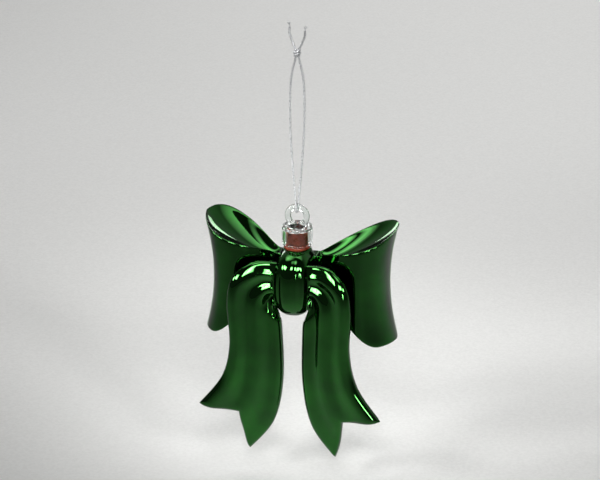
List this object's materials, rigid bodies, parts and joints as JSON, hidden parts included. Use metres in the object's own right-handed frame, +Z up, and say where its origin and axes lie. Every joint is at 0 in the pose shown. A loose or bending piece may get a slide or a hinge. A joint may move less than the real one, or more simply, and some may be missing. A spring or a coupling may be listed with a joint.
{
  "type": "bow ornament",
  "caption": "Hanging bow ornament: hollow mirror-green moulded loops, tails and knot, with a clear swivel cap, an eyelet and a thin silver cord loop.",
  "frame": {"origin": "the hanging point, under the cord's knot, where a branch or hook carries the cord loop", "axes": "+Z up along the cord and the neck's axis, -Y out of the bow's front, +X to the right loop as seen from the front"},
  "size_m": [0.0698, 0.0323, 0.1603],
  "materials": {
    "green_mirror": "vacuum-metallised plastic under clear green lacquer, mirror gloss",
    "bare_neck": "bare moulded red-brown plastic",
    "clear_cap": "clear moulded plastic",
    "silver_cord": "twisted metallic thread"
  },
  "bodies": {
    "cord": {"hanging_cord": "silver_cord", "cord_knot": "silver_cord"},
    "cap": {"hanger_cap": "clear_cap"},
    "bow": {"bow_knot": "green_mirror", "left_loop": "green_mirror", "right_loop": "green_mirror", "left_tail": "green_mirror", "right_tail": "green_mirror", "neck_bush": "bare_neck"}
  },
  "joints": [
    {"name": "eyelet_swing", "type": "hinge", "parent": "cord", "child": "cap", "pos_m": [0, 0, -0.0574], "axis": [0, 1, 0], "range_deg": [-60, 60]},
    {"name": "cap_swivel", "type": "hinge", "parent": "cap", "child": "bow", "pos_m": [0, 0, -0.062], "axis": [0, 0, 1], "continuous": true}
  ]
}
